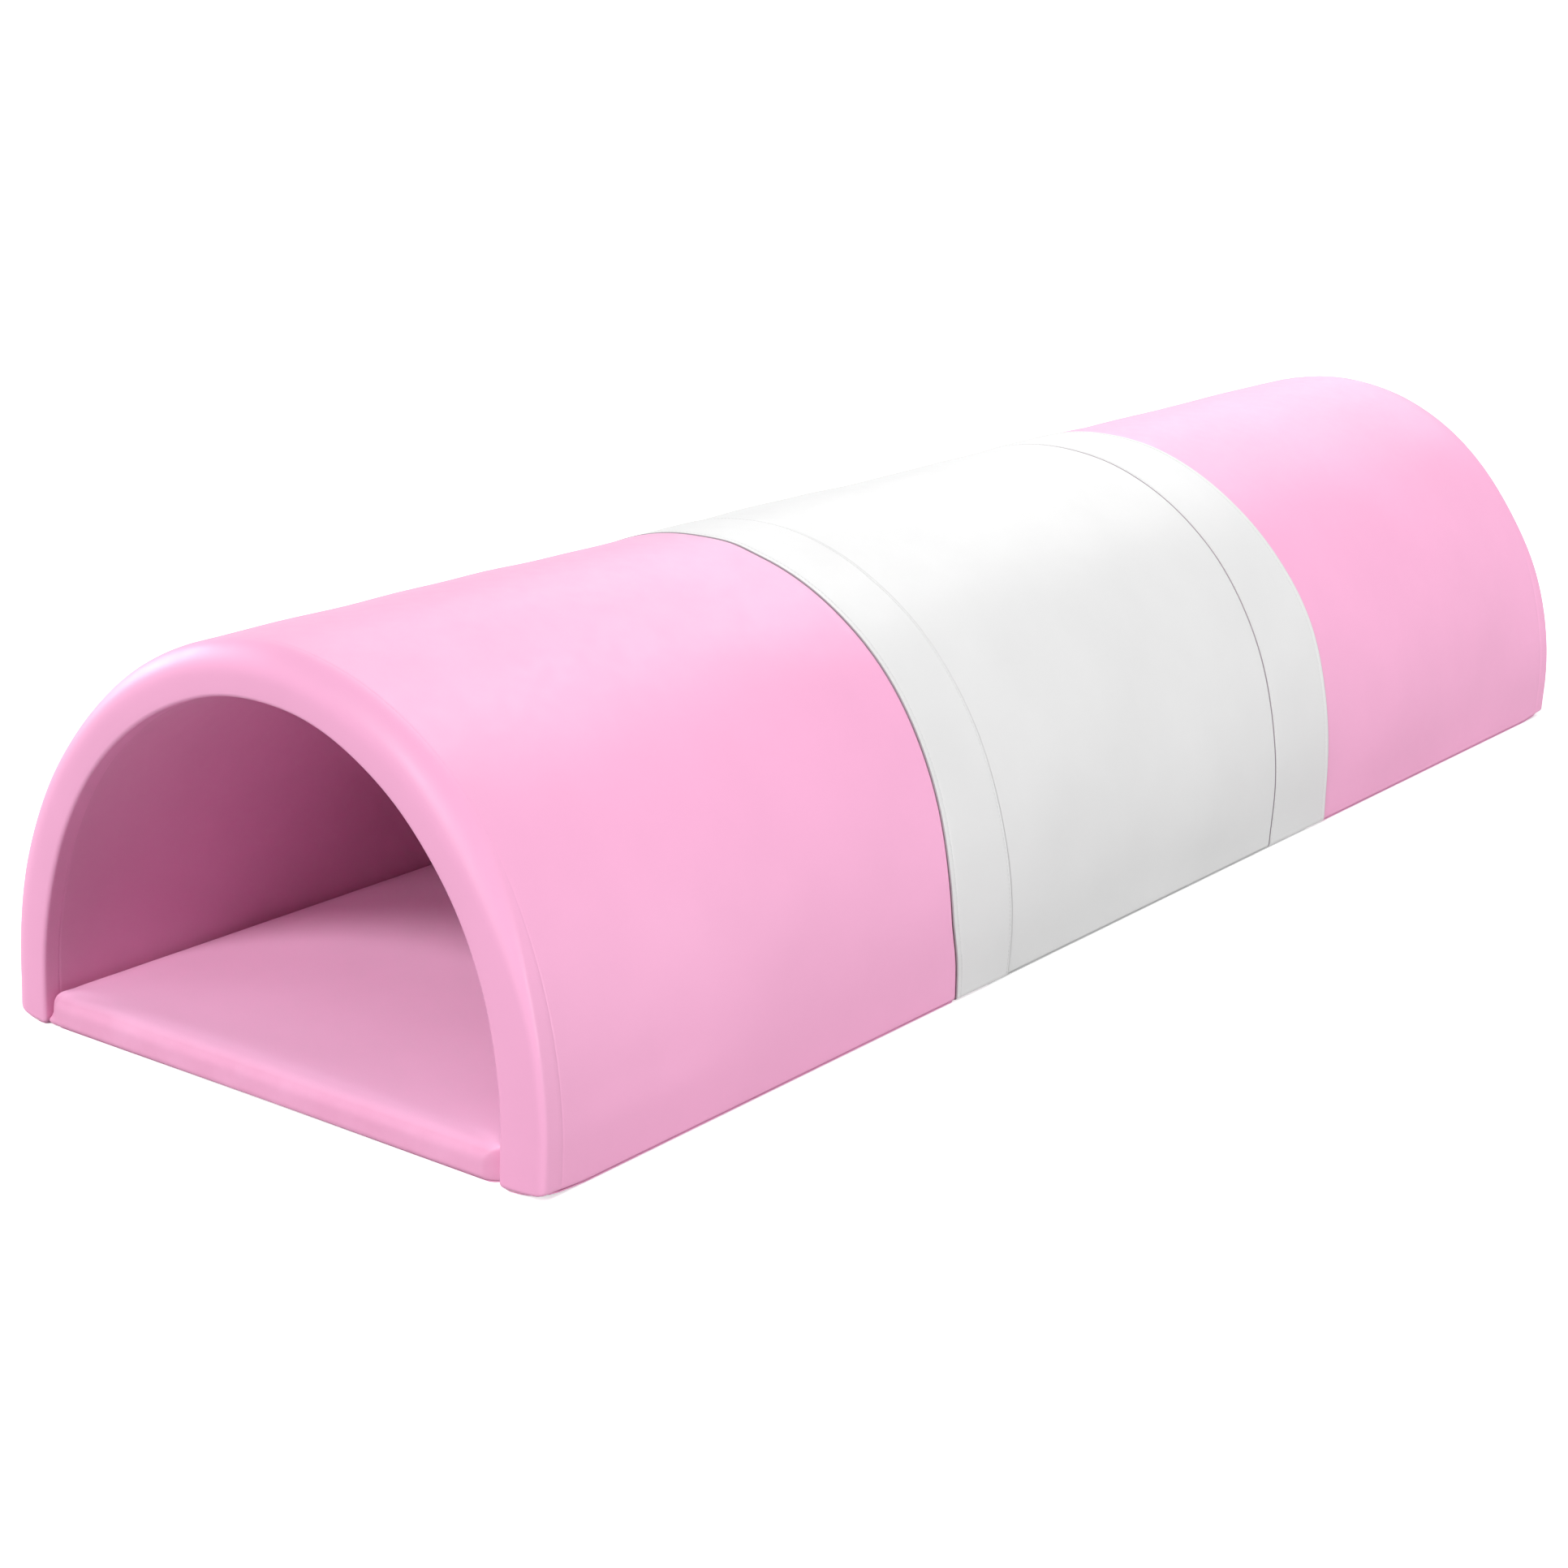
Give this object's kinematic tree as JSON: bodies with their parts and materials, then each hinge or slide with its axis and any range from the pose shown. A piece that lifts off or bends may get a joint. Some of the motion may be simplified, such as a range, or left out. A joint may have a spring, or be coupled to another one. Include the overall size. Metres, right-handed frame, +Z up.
{
  "type": "kids play tunnel",
  "caption": "Half-round padded crawl tunnel: foam arches in leatherette covers joined by hook-and-loop flaps, with a floor mat between the feet.",
  "frame": {"origin": "on the floor, at the middle of the bounding box", "axes": "+Y along the tunnel from the front mouth to the rear mouth, +X to the right seen from the front, +Z up"},
  "size_m": [0.6042, 1.905, 0.3841],
  "materials": {
    "pink_leatherette": "smooth satin leatherette, pink",
    "white_leatherette": "smooth satin leatherette, white",
    "foam": "open-cell polyurethane foam, cut",
    "hook_band": "hook side of hook-and-loop tape, white",
    "loop_band": "loop side of hook-and-loop tape, pink",
    "zip_tape": "woven zip tape with a nylon coil",
    "zip_slider": "die-cast metal, satin"
  },
  "bodies": {
    "middle_arch": {"middle_foam_core": "foam", "middle_outer_cover": "white_leatherette", "middle_inner_lining": "white_leatherette", "middle_front_panel": "white_leatherette", "middle_rear_panel": "white_leatherette", "middle_left_foot_panel": "white_leatherette", "middle_right_foot_panel": "white_leatherette", "middle_zip": "zip_tape", "front_flap": "white_leatherette", "rear_flap": "white_leatherette", "front_hook_band": "hook_band", "rear_hook_band": "hook_band"},
    "front_arch": {"front_foam_core": "foam", "front_outer_cover": "pink_leatherette", "front_mouth_rim": "pink_leatherette", "front_inner_lining": "pink_leatherette", "front_joint_panel": "pink_leatherette", "front_left_foot_panel": "pink_leatherette", "front_right_foot_panel": "pink_leatherette", "front_loop_band": "loop_band", "front_zip": "zip_tape"},
    "rear_arch": {"rear_foam_core": "foam", "rear_outer_cover": "pink_leatherette", "rear_mouth_rim": "pink_leatherette", "rear_inner_lining": "pink_leatherette", "rear_joint_panel": "pink_leatherette", "rear_left_foot_panel": "pink_leatherette", "rear_right_foot_panel": "pink_leatherette", "rear_loop_band": "loop_band", "rear_zip": "zip_tape"},
    "floor_mat": {"mat_foam_core": "foam", "mat_top_cover": "pink_leatherette", "mat_base_panel": "pink_leatherette", "mat_zip": "zip_tape"},
    "front_slider": {"front_zip_slider": "zip_slider"},
    "middle_slider": {"middle_zip_slider": "zip_slider"},
    "rear_slider": {"rear_zip_slider": "zip_slider"},
    "mat_slider": {"mat_zip_slider": "zip_slider"}
  },
  "joints": [
    {"name": "front_arch_pull", "type": "slide", "parent": "middle_arch", "child": "front_arch", "axis": [0, -1, 0], "range_m": [0, 0.25]},
    {"name": "rear_arch_pull", "type": "slide", "parent": "middle_arch", "child": "rear_arch", "axis": [0, 1, 0], "range_m": [0, 0.25]},
    {"name": "mat_slide", "type": "slide", "parent": "middle_arch", "child": "floor_mat", "axis": [0, -1, 0], "range_m": [0, 1.95]},
    {"name": "front_zip_slide", "type": "slide", "parent": "front_arch", "child": "front_slider", "axis": [0, -1, 0], "range_m": [0, 0.524]},
    {"name": "middle_zip_slide", "type": "slide", "parent": "middle_arch", "child": "middle_slider", "axis": [0, -1, 0], "range_m": [0, 0.524]},
    {"name": "rear_zip_slide", "type": "slide", "parent": "rear_arch", "child": "rear_slider", "axis": [0, 1, 0], "range_m": [0, 0.524]},
    {"name": "mat_zip_slide", "type": "slide", "parent": "floor_mat", "child": "mat_slider", "axis": [1, 0, 0], "range_m": [0, 0.359]}
  ]
}
